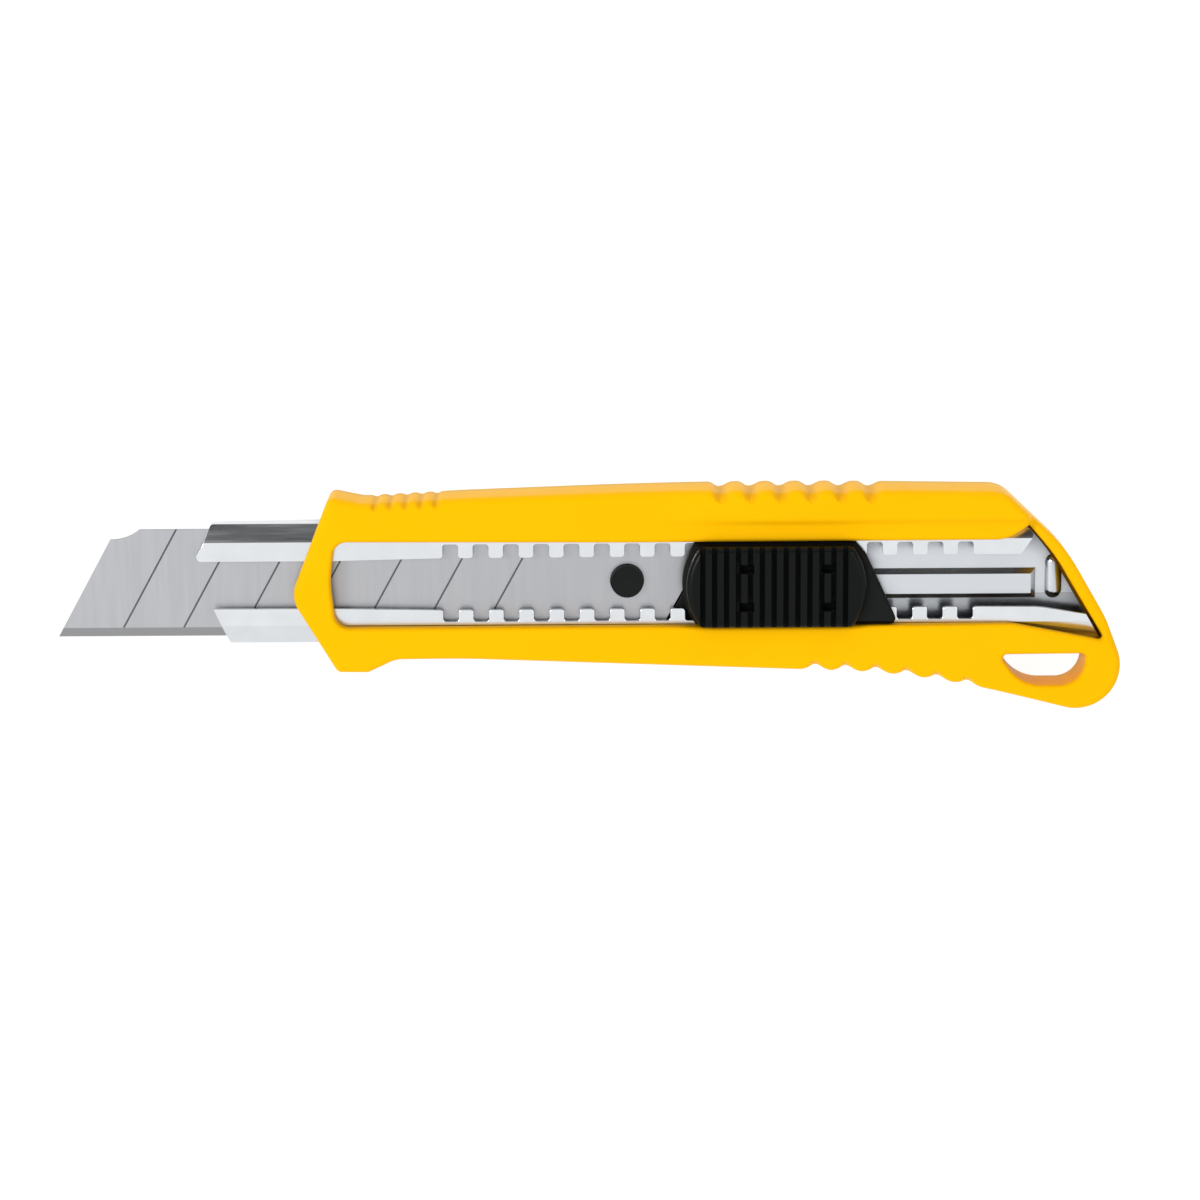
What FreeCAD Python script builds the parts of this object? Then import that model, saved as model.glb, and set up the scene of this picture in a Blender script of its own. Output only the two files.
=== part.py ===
import FreeCAD, Part
import math
import os

# Snap-off utility knife, 18 mm blade class. Millimetres.
# +X runs towards the handle's tail and the blade leaves towards -X, +Y is the spine side,
# +Z is the side with the slider. The knife lies on its back, on z = 0.
# x = 0 is the middle of the handle and y = 0 the centreline of the blade and its channel.

# ---- driving dimensions -------------------------------------------------------------------
# blade
BLADE_WIDTH = 18.0
BLADE_THICKNESS = 0.5
BLADE_PITCH = 10.0
BLADE_SCORES = 7
BLADE_ANGLE = 61.0
SCORE_WIDTH = 0.3
SCORE_DEPTH = 0.15
CUTTING_BEVEL = 1.5
CORNER_RADIUS = 7.2
FIRST_SCORE_X = -92.4
TAIL_X = -2.9
STUD_X = -13.0
STUD_RADIUS = 2.7
BLADE_HOLE_RADIUS = 2.8

# heights above the surface that the knife lies on
BACK_WALL = 2.2
SHEET = 0.8
FLOOR_Z = 2.4
BLADE_Z = 5.15
LIP_Z = 6.6
CAVITY_TOP = 7.6
LOWER_SIDE_Z = 10.0
UPPER_SIDE_Z = 11.5
REAR_RIM_Z = 8.2
TAIL_Z = 9.0
CARRIAGE_Z = (7.5, 9.5)
PAD_Z = (9.6, 12.4)

# channel
CHANNEL_HALF_WIDTH = 10.0
LIP_BEND_Y = 7.0
LIP_BEVEL_ANGLE = 20.0
UPPER_LIP_Y = (4.2, 4.35)
LOWER_LIP_Y = (-4.5, -4.4)
NOTCH_PITCH = 5.0
NOTCH_COUNT = 18
FIRST_NOTCH_X = -42.15
NOTCH_WIDTH = 2.6
NOTCH_ROOT_Y = 6.5
NOTCH_CORNER = 0.5
TOOTH_CORNER = 0.55
RAMP_START_X = -64.0
RAMP_END_X = -84.0
RAMP_RISE = 1.75
RIB_END_X = 54.9
RIB_Y = -1.2
RIB_TOP_WIDTH = 3.3
RIB_RUN = 0.9
RIB_HEIGHT = 1.0
STOP_X = 57.8
STOP_Y = (-2.4, 2.2)
STOP_RADIUS = 1.5
STOP_HEIGHT = 0.9

# handle
CAVITY_HALF_WIDTH = 10.2
EDGE_ROUND = 1.6
BACK_ROUND = 0.8
CREASE_Y = 10.2
WINDOW_TOP_Y = 7.0
WINDOW_BOTTOM_Y = -7.15
SMALL_GROOVES = (5, -54.4, 2.5)
SMALL_GROOVE_Y = 15.05
SMALL_GROOVE_RADIUS = 0.8
SMALL_GROOVE_FLOOR = 9.8
LARGE_GROOVES = (6, 2.3, 4.93)
LARGE_GROOVE_Y = 16.75
LARGE_GROOVE_RADIUS = 1.85
SCALLOPS = (6, 18.1, 5.05)
SCALLOP_RADIUS = 4.8
SCALLOP_VALLEY_Y = -13.85
TAIL_ZONE_X = 50.0

# blade holder
HOLDER_REAR_X = 25.0
TAIL_GAP = 0.3
TONGUE_REACH = 4.5
TONGUE_HALF_WIDTH = 6.0
TONGUE_NOSE_LIFT = 1.1
TONGUE_NOSE_X = -8.0
BLOCK_HALF_WIDTH = 6.7
RAIL_HALF_WIDTH = 3.4
SPRING_BAY_X = (2.9, 22.5)
SPRING_BAY_Z = 7.3

# slider
TOOTH_X = 12.7
TOOTH_WIDTH = 2.2
TOOTH_Y = (4.5, 6.2)
SPRING_Z = (7.6, 8.05)
GROOVE_COUNT = 13
GROOVE_PITCH = 1.95
FIRST_GROOVE_X = -0.65
GROOVE_DEPTH = 1.0
GROOVE_WIDTH = (0.9, 0.6)
PAD_ROUND = 1.0
PAD_MIDDLE_Y = -0.22
CARRIAGE_CHAMFER = 0.6
CARRIAGE_WEB = 0.8
HOOK_X = (6.6, 20.0)
LEG_Y = (2.45, 3.3)
BARB_Y = 4.0
LEG_HALF_LENGTH = 1.1
LEG_BOTTOM_Z = 7.7
CAM_BOTTOM_Z = 8.2
CAM_HALF_WIDTH = 1.5
LEAF_X = (3.1, 22.3)
LEAF_HALF_WIDTH = 1.7
POCKET_Y = 3.17
POCKET_SIZE = (2.4, 1.5)
POCKET_FLOOR = 0.6
PEGS = ((1.6, 1.2), (24.0, 0.9))
PEG_HALF_WIDTH = 1.5
PEG_BOTTOM_Z = 7.0
GAP = 0.1

# well past the knife: along it, above it and below it
REACH = 120.0
ABOVE = 20.0
UNDER = -1.0


# ---- shape helpers ------------------------------------------------------------------------
def vector(x, y, z=0.0):
    return FreeCAD.Vector(x, y, z)


def rounded_wire(corners):
    """A closed flat wire through (x, y, radius) corners, each rounded by a tangent arc."""
    count = len(corners)
    edges = []
    last_end = None
    first_start = None
    for i in range(count):
        x, y, radius = corners[i]
        before = corners[i - 1]
        after = corners[(i + 1) % count]
        corner = vector(x, y)
        to_before = (vector(before[0], before[1]) - corner).normalize()
        to_after = (vector(after[0], after[1]) - corner).normalize()
        half = to_before.getAngle(to_after) / 2
        if radius > 0:
            run = radius / math.tan(half)
            start = corner + to_before * run
            end = corner + to_after * run
            middle_way = (to_before + to_after).normalize()
            centre = corner + middle_way * (radius / math.sin(half))
            middle = centre - middle_way * radius
            arc = Part.Arc(start, middle, end).toShape()
        else:
            start = end = corner
            arc = None
        if last_end is not None:
            edges.append(Part.LineSegment(last_end, start).toShape())
        else:
            first_start = start
        if arc is not None:
            edges.append(arc)
        last_end = end
    edges.append(Part.LineSegment(last_end, first_start).toShape())
    return Part.Wire(edges)


def prism(corners, low, high):
    """The rounded outline, in plan, as a solid from z = low to z = high."""
    face = Part.Face(rounded_wire(corners))
    face.translate(vector(0, 0, low))
    return face.extrude(vector(0, 0, high - low))


def box(x_range, y_range, z_range):
    size = [b - a for a, b in (x_range, y_range, z_range)]
    return Part.makeBox(*size, vector(x_range[0], y_range[0], z_range[0]))


def bar(section, x_low, x_high):
    """A solid along X with a straight-sided section of (y, z) points."""
    points = [vector(x_low, y, z) for y, z in section + section[:1]]
    return Part.Face(Part.makePolygon(points)).extrude(vector(x_high - x_low, 0, 0))


def crossbar(section, y_low, y_high):
    """A solid along Y with a straight-sided section of (x, z) points."""
    points = [vector(x, y_low, z) for x, z in section + section[:1]]
    return Part.Face(Part.makePolygon(points)).extrude(vector(0, y_high - y_low, 0))


def post(x, y, radius, low, high):
    return Part.makeCylinder(radius, high - low, vector(x, y, low))


def edges_at(shape, height):
    """The edges that lie flat at a height."""
    found = []
    for edge in shape.Edges:
        bounds = edge.BoundBox
        if abs(bounds.ZMin - height) < 1e-6 and abs(bounds.ZMax - height) < 1e-6:
            found.append(edge)
    return found


def slanted(y):
    """How far a line at the blade's snap angle has moved in X at a distance y from y = 0."""
    return y / math.tan(math.radians(BLADE_ANGLE))


def lip_bevel_z(y, inner=False):
    """Height of the lips' sloping outer part, outside or inside the sheet."""
    top = LIP_Z if inner else LIP_Z + SHEET
    return top - (abs(y) - LIP_BEND_Y) * math.tan(math.radians(LIP_BEVEL_ANGLE))


# ---- outlines in plan, as (x, y, corner radius) -------------------------------------------
HANDLE_OUTLINE = [
    (-68.55, -2.0, 5.0),
    (-61.9, 14.9, 1.3),
    (-56.5, 13.75, 5.0),
    (-40.0, 14.57, 100.0),
    (4.0, 16.05, 1000.0),
    (48.8, 15.3, 5.0),
    (59.4, 5.2, 25.0),
    (66.1, -6.4, 20.0),
    (73.2, -25.0, 7.3),
    (36.0, -15.35, 130.0),
    (-40.0, -12.43, 200.0),
    (-51.3, -12.5, 5.0),
    (-55.9, -14.66, 1.6),
    (-60.95, -14.6, 1.2),
]
WINDOW_OUTLINE = [
    (-61.15, 7.35, 2.4),
    (-12.0, 7.03, 300.0),
    (49.6, 7.15, 6.0),
    (53.0, 9.6, 0.3),
    (57.6, 4.1, 30.0),
    (66.0, -10.1, 0.5),
    (50.5, -7.05, 12.0),
    (-61.1, -7.12, 2.6),
    (-61.95, 0.5, 18.0),
]
CAVITY_OUTLINE = [
    (-90.0, CAVITY_HALF_WIDTH, 0.0),
    (52.4, CAVITY_HALF_WIDTH, 0.0),
    (57.6, 4.1, 30.0),
    (65.9, -CAVITY_HALF_WIDTH, 0.0),
    (-90.0, -CAVITY_HALF_WIDTH, 0.0),
]
CHANNEL_OUTLINE = [
    (-81.6, CHANNEL_HALF_WIDTH, 0.6),
    (52.1, CHANNEL_HALF_WIDTH, 0.0),
    (57.2, 4.0, 30.0),
    (65.3, -CHANNEL_HALF_WIDTH, 0.0),
    (-78.8, -CHANNEL_HALF_WIDTH, 0.5),
    (-84.75, 3.4, 0.7),
    (-82.8, 6.9, 1.0),
]
REAR_RIM_ZONE = [
    (53.2, 20.0, 0.0),
    (53.2, 10.2, 1.5),
    (51.0, 7.5, 3.0),
    (40.0, 0.1, 0.0),
    (64.5, -9.0, 0.0),
    (80.0, -9.0, 0.0),
    (80.0, 20.0, 0.0),
]
LANYARD_HOLE = [
    (48.4, -12.25, 0.7),
    (62.75, -12.25, 0.7),
    (62.75, -17.6, 4.2),
    (52.3, -17.6, 7.0),
]
LIP_GAP_FRONT = [
    (-95.0, 6.85, 0.0),
    (-82.9, 6.85, 0.0),
    (-84.6, 3.83, 0.8),
    (-62.0, 3.83, 0.0),
    (-46.0, 4.15, 0.0),
]
LIP_GAP_REAR = [
    (52.0, 4.35, 0.0),
    (54.0, 7.2, 1.0),
    (54.0, 20.0, 0.0),
    (90.0, 20.0, 0.0),
    (90.0, -5.85, 0.0),
    (63.2, -5.85, 0.0),
    (55.0, -4.5, 20.0),
]
LIP_GAP_LOWER_FRONT = [
    (-62.0, -4.15, 0.0),
    (-95.0, -4.1, 0.0),
]
CARRIAGE_OUTLINE = [
    (-1.7, 6.9, 0.9),
    (24.5, 6.9, 0.9),
    (26.3, 4.9, 3.0),
    (31.75, -6.9, 0.9),
    (-1.7, -6.9, 0.9),
    (-5.95, 0.0, 11.6),
]
PAD_OUTLINE = [
    (-1.0, 6.5, 1.1),
    (24.05, 6.5, 1.1),
    (27.85, PAD_MIDDLE_Y, 10.8),
    (24.05, -6.95, 1.1),
    (-1.0, -6.95, 1.1),
    (-5.4, PAD_MIDDLE_Y, 10.8),
]


# ---- handle -------------------------------------------------------------------------------
def handle_blank(height):
    """The whole handle at one thickness, with its front and back edges rounded."""
    blank = prism(HANDLE_OUTLINE, 0, height)
    blank = blank.makeFillet(EDGE_ROUND, edges_at(blank, height))
    return blank.makeFillet(BACK_ROUND, edges_at(blank, 0))


def handle_thickness():
    """Thick above the channel, thinner below it, thinner still at the rear rim and the tail."""
    rear_zone = prism(REAR_RIM_ZONE, UNDER, ABOVE)
    upper_zone = box((-REACH, REACH), (0, 20), (UNDER, ABOVE)).cut(rear_zone)
    tail_zone = box((TAIL_ZONE_X, REACH), (-30, 0), (UNDER, ABOVE)).cut(rear_zone)
    lower_zone = box((-REACH, TAIL_ZONE_X), (-30, 0), (UNDER, ABOVE)).cut(rear_zone)
    body = handle_blank(UPPER_SIDE_Z).common(upper_zone)
    body = body.fuse(handle_blank(LOWER_SIDE_Z).common(lower_zone))
    body = body.fuse(handle_blank(TAIL_Z).common(tail_zone))
    return body.fuse(handle_blank(REAR_RIM_Z).common(rear_zone)).removeSplitter()


def grip_cutters():
    """Upright grooves in the spine edge and finger scallops in the belly edge."""
    cutters = []
    count, first, pitch = SMALL_GROOVES
    for n in range(count):
        x = first + n * pitch
        cutters.append(post(x, SMALL_GROOVE_Y, SMALL_GROOVE_RADIUS, SMALL_GROOVE_FLOOR, ABOVE))
    count, first, pitch = LARGE_GROOVES
    for n in range(count):
        cutters.append(post(first + n * pitch, LARGE_GROOVE_Y, LARGE_GROOVE_RADIUS, UNDER, ABOVE))
    count, first, pitch = SCALLOPS
    for n in range(count):
        centre_y = SCALLOP_VALLEY_Y - 0.14 * n - 0.08 * n * n - SCALLOP_RADIUS
        cutters.append(post(first + n * pitch, centre_y, SCALLOP_RADIUS, UNDER, ABOVE))
    return cutters


def make_handle():
    body = handle_thickness()
    above = UPPER_SIDE_Z + 1
    slope = [(CREASE_Y, UPPER_SIDE_Z), (CREASE_Y, above), (0, above)]
    slope += [(0, LOWER_SIDE_Z), (WINDOW_TOP_Y, LOWER_SIDE_Z)]
    body = body.cut(bar(slope, -REACH, REACH))
    body = body.cut(prism(CAVITY_OUTLINE, BACK_WALL, CAVITY_TOP))
    body = body.cut(prism(WINDOW_OUTLINE, BACK_WALL, ABOVE))
    body = body.cut(prism(LANYARD_HOLE, UNDER, ABOVE))
    for cutter in grip_cutters():
        body = body.cut(cutter)
    return body


# ---- channel ------------------------------------------------------------------------------
def channel_section(inner):
    """Half of the section is floor, wall, sloping bevel and lip; the other half mirrors it."""
    wall = CHANNEL_HALF_WIDTH - (SHEET if inner else 0)
    floor = FLOOR_Z + (SHEET if inner else 0)
    lip = LIP_Z if inner else LIP_Z + SHEET
    shoulder = lip_bevel_z(wall, inner)
    half = [(wall, floor), (wall, shoulder), (LIP_BEND_Y, lip)]
    return half + [(-y, z) for y, z in reversed(half)]


def under_ramp(extra):
    """Everything below the floor where it climbs towards the nose."""
    start = FLOOR_Z + extra
    run = RAMP_START_X - RAMP_END_X
    past = 6.0
    low = -5.0
    end_z = start + RAMP_RISE * (run + past) / run
    corners = [(RAMP_START_X, start), (RAMP_END_X - past, end_z), (RAMP_END_X - past, low)]
    return crossbar(corners + [(RAMP_START_X, low)], -20, 20)


def notched_side(ends, root_y):
    """One lip's inner edge from the first notch to the last, as outline corners."""
    corners = []
    for n in range(NOTCH_COUNT):
        x = FIRST_NOTCH_X + n * NOTCH_PITCH
        edge_y = ends[0] + (ends[1] - ends[0]) * n / (NOTCH_COUNT - 1)
        for side in (-1, 1):
            tip = (x + side * NOTCH_WIDTH / 2, edge_y, TOOTH_CORNER)
            root = (x + side * NOTCH_WIDTH / 2, root_y, NOTCH_CORNER)
            corners += [tip, root] if side < 0 else [root, tip]
    return corners


def lip_gap():
    """The slot between the lips, with its row of notches on both sides."""
    upper = LIP_GAP_FRONT + notched_side(UPPER_LIP_Y, NOTCH_ROOT_Y)
    lower = notched_side(LOWER_LIP_Y, -NOTCH_ROOT_Y)[::-1] + LIP_GAP_LOWER_FRONT
    return prism(upper + LIP_GAP_REAR + lower, LIP_Z - 0.3, ABOVE)


def floor_rib():
    """The stiffening rib pressed up from the floor, with a sloping end."""
    half = RIB_TOP_WIDTH / 2
    low = FLOOR_Z + SHEET - 0.05
    high = FLOOR_Z + SHEET + RIB_HEIGHT
    foot = half + RIB_RUN
    section = [(RIB_Y - foot, low), (RIB_Y + foot, low), (RIB_Y + half, high), (RIB_Y - half, high)]
    rib = bar(section, RAMP_START_X + 4, RIB_END_X)
    beyond = [(RIB_END_X - RIB_RUN, high + 1), (RIB_END_X - RIB_RUN, high), (RIB_END_X, low)]
    return rib.cut(crossbar(beyond + [(RIB_END_X + 1, low), (RIB_END_X + 1, high + 1)], -9, 9))


def rear_stop():
    """The smooth boss pressed up from the floor behind the rib, where the blade holder stops."""
    floor = FLOOR_Z + SHEET
    axis_z = floor + STOP_HEIGHT - STOP_RADIUS
    low_y, high_y = STOP_Y
    start = vector(STOP_X, low_y, axis_z)
    boss = Part.makeCylinder(STOP_RADIUS, high_y - low_y, start, vector(0, 1, 0))
    for y in STOP_Y:
        boss = boss.fuse(Part.makeSphere(STOP_RADIUS, vector(STOP_X, y, axis_z)))
    return boss.common(box((0, REACH), (-REACH, REACH), (floor - 0.05, ABOVE)))


def make_channel():
    outer = bar(channel_section(False), -90, 70).cut(under_ramp(0))
    inner = bar(channel_section(True), -91, 71).cut(under_ramp(SHEET))
    channel = outer.cut(inner).fuse([floor_rib(), rear_stop()])
    channel = channel.common(prism(CHANNEL_OUTLINE, 0, ABOVE))
    return channel.cut(lip_gap()).removeSplitter()


# ---- blade --------------------------------------------------------------------------------
def make_blade():
    half = BLADE_WIDTH / 2
    tail_low = TAIL_X + slanted(-half)
    tail_high = TAIL_X + slanted(half)
    outline = [
        (tail_low, -half, 0.0),
        (tail_high, half, 0.3),
        (-93.5, half, 0.0),
        (-98.35, 7.35, 0.0),
        (-107.4, -half, 0.0),
    ]
    low, high = BLADE_Z, BLADE_Z + BLADE_THICKNESS
    blade = prism(outline, low, high)
    back_end, front_end = [vector(x, y) for x, y, _ in outline[2:4]]
    chord = front_end - back_end
    outwards = vector(chord.y, -chord.x).normalize()
    rise = math.sqrt(CORNER_RADIUS ** 2 - (chord.Length / 2) ** 2)
    centre = back_end + chord / 2 + outwards * rise
    blade = blade.cut(post(centre.x, centre.y, CORNER_RADIUS, 0, ABOVE))
    grind = [(-half - 1, high + 1), (-half - 1, low + 0.05), (-half, low + 0.05)]
    grind += [(CUTTING_BEVEL - half, high), (CUTTING_BEVEL - half, high + 1)]
    blade = blade.cut(bar(grind, -REACH, REACH))
    blade = blade.cut(post(STUD_X, 0, BLADE_HOLE_RADIUS, 0, ABOVE))
    for n in range(BLADE_SCORES):
        x = FIRST_SCORE_X + n * BLADE_PITCH
        corners = []
        for side_y in (-half - 1, half + 1):
            for side in (-1, 1):
                offset = side * SCORE_WIDTH / 2 * (1 if side_y < 0 else -1)
                corners.append((x + slanted(side_y) + offset, side_y, 0.0))
        blade = blade.cut(prism(corners, high - SCORE_DEPTH, high + 1))
    return blade


# ---- blade holder -------------------------------------------------------------------------
def make_blade_holder():
    """The tongue under the blade, the stud, and the block behind the blade's tail."""
    bottom = FLOOR_Z + SHEET + GAP
    under_blade = BLADE_Z - 0.05
    edge = BLADE_WIDTH / 2
    tail_x = TAIL_X + TAIL_GAP
    rear = HOLDER_REAR_X
    front = STUD_X - TONGUE_REACH
    half = TONGUE_HALF_WIDTH
    tongue = [(front, half, 2.0), (5, half, 0), (5, -half, 0), (front, -half, 2.0)]
    tongue = prism(tongue, bottom, under_blade)
    lifted = bottom + TONGUE_NOSE_LIFT
    under_nose = [(TONGUE_NOSE_X, bottom), (TONGUE_NOSE_X, 0), (front - 1, 0), (front - 1, lifted)]
    tongue = tongue.cut(crossbar(under_nose, -REACH, REACH))
    flange = [(tail_x + slanted(edge), edge, 0), (rear - 3.5, edge, 0), (rear, 2.0, 0)]
    flange += [(rear, -edge, 0), (tail_x + slanted(-edge), -edge, 0)]
    half = BLOCK_HALF_WIDTH
    block = [(tail_x + slanted(half), half, 0), (rear - 1, half, 0.5), (rear, -half, 0.5)]
    block.append((tail_x + slanted(-half), -half, 0))
    half = RAIL_HALF_WIDTH
    rail = [(1.5, half, 1.0), (rear, half, 1.0), (rear, -half, 1.0), (-0.5, -half, 1.0)]
    holder = tongue.fuse(prism(flange, bottom, BLADE_Z + 0.45))
    holder = holder.fuse(prism(block, bottom, LIP_Z - 0.2))
    holder = holder.fuse(prism(rail, bottom, CARRIAGE_Z[0]))
    holder = holder.fuse(post(STUD_X, 0, STUD_RADIUS, BLADE_Z - 0.5, LIP_Z + 0.3))
    half = RIB_TOP_WIDTH / 2 + RIB_RUN + 0.3
    groove_top = FLOOR_Z + SHEET + RIB_HEIGHT + GAP
    holder = holder.cut(box((-REACH, REACH), (RIB_Y - half, RIB_Y + half), (0, groove_top)))
    for x, half_length in PEGS:
        peg_y = (-PEG_HALF_WIDTH, PEG_HALF_WIDTH)
        peg = box((x - half_length, x + half_length), peg_y, (PEG_BOTTOM_Z, CARRIAGE_Z[1] - 0.6))
        holder = holder.fuse(peg)
    for x in HOOK_X:
        hook_x = (x - LEG_HALF_LENGTH - 1.5, x + LEG_HALF_LENGTH + 1.5)
        for side in (-1, 1):
            clear_y = sorted((side * 2.0, side * BARB_Y))
            holder = holder.cut(box(hook_x, clear_y, (LIP_Z, CARRIAGE_Z[1])))
    holder = holder.cut(box(SPRING_BAY_X, (-2.0, 2.0), (SPRING_BAY_Z, CARRIAGE_Z[1])))
    return holder.removeSplitter()


# ---- slider -------------------------------------------------------------------------------
def make_carriage():
    """The plate that runs on the lips, hollow underneath for the lock spring and pad hooks."""
    low, high = CARRIAGE_Z
    plate = prism(CARRIAGE_OUTLINE, low, high)
    plate = plate.makeChamfer(CARRIAGE_CHAMFER, edges_at(plate, high))
    web_low = high - CARRIAGE_WEB
    bay_x = (SPRING_BAY_X[0] - GAP, SPRING_BAY_X[1] + GAP)
    bay_y = BARB_Y + 0.2
    plate = plate.cut(box(bay_x, (-bay_y, bay_y), (low - 1, web_low)))
    plate = plate.cut(box((TOOTH_X - 1.6, TOOTH_X + 1.6), (-6.4, 6.4), (low - 1, web_low)))
    for x in HOOK_X:
        for side in (-1, 1):
            slot_y = sorted((side * (LEG_Y[0] - 0.15), side * bay_y))
            plate = plate.cut(box((x - 2.3, x + 2.3), slot_y, (low - 1, high + 1)))
    plate = plate.cut(box((TOOTH_X - 3.2, TOOTH_X + 3.2), (-1.8, 1.8), (low - 1, high + 1)))
    for x, half_length in PEGS:
        hole_x = (x - half_length - 0.05, x + half_length + 0.05)
        hole_y = (-PEG_HALF_WIDTH - 0.05, PEG_HALF_WIDTH + 0.05)
        plate = plate.cut(box(hole_x, hole_y, (low - 1, high - 0.5)))
    return plate.removeSplitter()


def make_thumb_pad():
    """The grooved knob: four hooks hold it under the carriage's web, and a cam works the spring."""
    low, high = PAD_Z
    pad = prism(PAD_OUTLINE, low, high)
    pad = pad.makeFillet(PAD_ROUND, edges_at(pad, high))
    mouth, bed = [width / 2 for width in GROOVE_WIDTH]
    for n in range(GROOVE_COUNT):
        x = FIRST_GROOVE_X + n * GROOVE_PITCH
        section = [(x - bed, high - GROOVE_DEPTH), (x + bed, high - GROOVE_DEPTH)]
        section += [(x + mouth, high), (x + mouth, high + 1), (x - mouth, high + 1), (x - mouth, high)]
        pad = pad.cut(crossbar(section, -10, 10))
    barb_top = CARRIAGE_Z[1] - CARRIAGE_WEB - GAP
    pocket_x, pocket_y = [size / 2 for size in POCKET_SIZE]
    for x in HOOK_X:
        leg_x = (x - LEG_HALF_LENGTH, x + LEG_HALF_LENGTH)
        for side in (-1, 1):
            leg_y = sorted((side * LEG_Y[0], side * LEG_Y[1]))
            barb_y = sorted((side * LEG_Y[0], side * BARB_Y))
            middle_y = PAD_MIDDLE_Y + side * POCKET_Y
            pad = pad.fuse(box(leg_x, leg_y, (LEG_BOTTOM_Z, low + 0.5)))
            pad = pad.fuse(box(leg_x, barb_y, (LEG_BOTTOM_Z, barb_top)))
            span_y = (middle_y - pocket_y, middle_y + pocket_y)
            pad = pad.cut(box((x - pocket_x, x + pocket_x), span_y, (low + POCKET_FLOOR, high + 2)))
    cam = [(TOOTH_X - 1.8, low + 0.2), (TOOTH_X - 0.8, CAM_BOTTOM_Z)]
    cam += [(TOOTH_X + 0.8, CAM_BOTTOM_Z), (TOOTH_X + 1.8, low + 0.2)]
    return pad.fuse(crossbar(cam, -CAM_HALF_WIDTH, CAM_HALF_WIDTH)).removeSplitter()


def make_lock_spring():
    """A steel leaf whose crossbar carries one tooth into the notches of each lip."""
    low, high = SPRING_Z
    leaf = box(LEAF_X, (-LEAF_HALF_WIDTH, LEAF_HALF_WIDTH), (low, high))
    tooth_x = (TOOTH_X - TOOTH_WIDTH / 2, TOOTH_X + TOOTH_WIDTH / 2)
    spring = leaf.fuse(box(tooth_x, (-TOOTH_Y[1], TOOTH_Y[1]), (low, high)))
    for side in (-1, 1):
        tooth_y = sorted((side * TOOTH_Y[0], side * TOOTH_Y[1]))
        spring = spring.fuse(box(tooth_x, tooth_y, (LIP_Z + GAP, high)))
    return spring.removeSplitter()


# ---- build --------------------------------------------------------------------------------
PIECES = {
    "handle_body": make_handle,
    "blade_channel": make_channel,
    "snap_off_blade": make_blade,
    "blade_holder": make_blade_holder,
    "slider_carriage": make_carriage,
    "thumb_pad": make_thumb_pad,
    "lock_spring": make_lock_spring,
}

os.makedirs("parts", exist_ok=True)
for name, make in PIECES.items():
    shape = make()
    bounds = shape.BoundBox
    spans = (bounds.XMin, bounds.XMax, bounds.YMin, bounds.YMax, bounds.ZMin, bounds.ZMax)
    text = " ".join(f"{value:.2f}" for value in spans)
    print(name, len(shape.Solids), "solid", "valid" if shape.isValid() else "NOT VALID", text)
    shape.exportStep(f"parts/{name}.step")
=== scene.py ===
import math

import bmesh
import bpy
import numpy as np
from mathutils import Matrix, Vector
from mathutils.geometry import delaunay_2d_cdt


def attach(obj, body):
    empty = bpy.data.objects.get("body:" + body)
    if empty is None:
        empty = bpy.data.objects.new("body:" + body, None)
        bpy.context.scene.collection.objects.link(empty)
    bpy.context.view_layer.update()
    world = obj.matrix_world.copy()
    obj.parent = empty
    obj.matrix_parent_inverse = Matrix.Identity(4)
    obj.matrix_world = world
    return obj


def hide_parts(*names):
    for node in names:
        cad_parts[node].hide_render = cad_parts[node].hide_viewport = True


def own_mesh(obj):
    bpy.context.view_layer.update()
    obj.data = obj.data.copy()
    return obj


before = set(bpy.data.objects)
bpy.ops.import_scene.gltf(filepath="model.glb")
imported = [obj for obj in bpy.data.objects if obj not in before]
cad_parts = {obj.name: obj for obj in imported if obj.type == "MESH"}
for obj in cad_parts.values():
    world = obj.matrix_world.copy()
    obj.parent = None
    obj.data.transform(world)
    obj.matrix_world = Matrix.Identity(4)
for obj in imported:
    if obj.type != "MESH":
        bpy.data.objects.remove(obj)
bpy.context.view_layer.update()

# Lengths below are in millimetres and heights are above the floor; meshes are made in metres.
MM = 0.001

# The handle's outline, window, lanyard hole and cavity in plan, as (x, y, corner radius)
HANDLE_OUTLINE = [
    (-68.55, -2.0, 5.0),
    (-61.9, 14.9, 1.3),
    (-56.5, 13.75, 5.0),
    (-40.0, 14.57, 100.0),
    (4.0, 16.05, 1000.0),
    (48.8, 15.3, 5.0),
    (59.4, 5.2, 25.0),
    (66.1, -6.4, 20.0),
    (73.2, -25.0, 7.3),
    (36.0, -15.35, 130.0),
    (-40.0, -12.43, 200.0),
    (-51.3, -12.5, 5.0),
    (-55.9, -14.66, 1.6),
    (-60.95, -14.6, 1.2),
]
WINDOW_OUTLINE = [
    (-61.15, 7.35, 2.4),
    (-12.0, 7.03, 300.0),
    (49.6, 7.15, 6.0),
    (53.0, 9.6, 0.3),
    (57.6, 4.1, 30.0),
    (66.0, -10.1, 0.5),
    (50.5, -7.05, 12.0),
    (-61.1, -7.12, 2.6),
    (-61.95, 0.5, 18.0),
]
LANYARD_HOLE = [
    (48.4, -12.25, 0.7),
    (62.75, -12.25, 0.7),
    (62.75, -17.6, 4.2),
    (52.3, -17.6, 7.0),
]
CAVITY_OUTLINE = [
    (-90.0, 10.2, 0.0),
    (52.6, 10.2, 0.0),
    (57.85, 4.25, 30.0),
    (66.15, -10.2, 0.0),
    (-90.0, -10.2, 0.0),
]

# Handle heights
BACK_WALL = 2.2
CAVITY_TOP = 7.6
WINDOW_FLOOR = 5.0
SIDE_HEIGHT = 10.0
TAIL_HEIGHT = 9.0
RIM_HEIGHT = 8.2
SPINE_RISE = 0.55
CREASE_STEP = 0.85

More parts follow.
